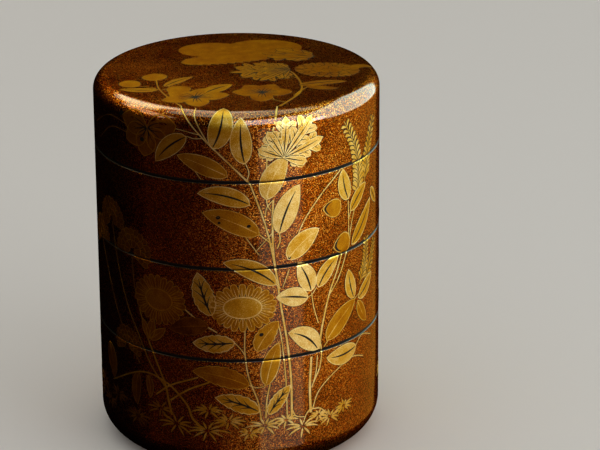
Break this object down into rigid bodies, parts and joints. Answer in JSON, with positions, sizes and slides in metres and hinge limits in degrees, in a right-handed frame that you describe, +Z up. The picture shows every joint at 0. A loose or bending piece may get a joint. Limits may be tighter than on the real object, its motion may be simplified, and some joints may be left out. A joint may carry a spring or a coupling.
{
  "type": "tiered incense box",
  "caption": "Round lacquered wooden incense box of stacked flush trays under a lift-off lid, with sprinkled gold and gold plant decoration.",
  "frame": {"origin": "centre of the underside, on the plane of the standing ring", "axes": "+Z up along the axis of the stack, -Y towards the side of the plant picture that the picture shows"},
  "size_m": [0.064, 0.064, 0.0851],
  "materials": {
    "sprinkled_gold_lacquer": "red-brown lacquer over wood, densely sprinkled with gold flakes and polished to a high gloss",
    "gold_picture": "fine gold powder picture, satin, slightly raised, with dark lacquer veins"
  },
  "bodies": {
    "root": {"lid": "sprinkled_gold_lacquer", "upper_tier": "sprinkled_gold_lacquer", "middle_tier": "sprinkled_gold_lacquer", "lower_tier": "sprinkled_gold_lacquer"}
  },
  "joints": []
}
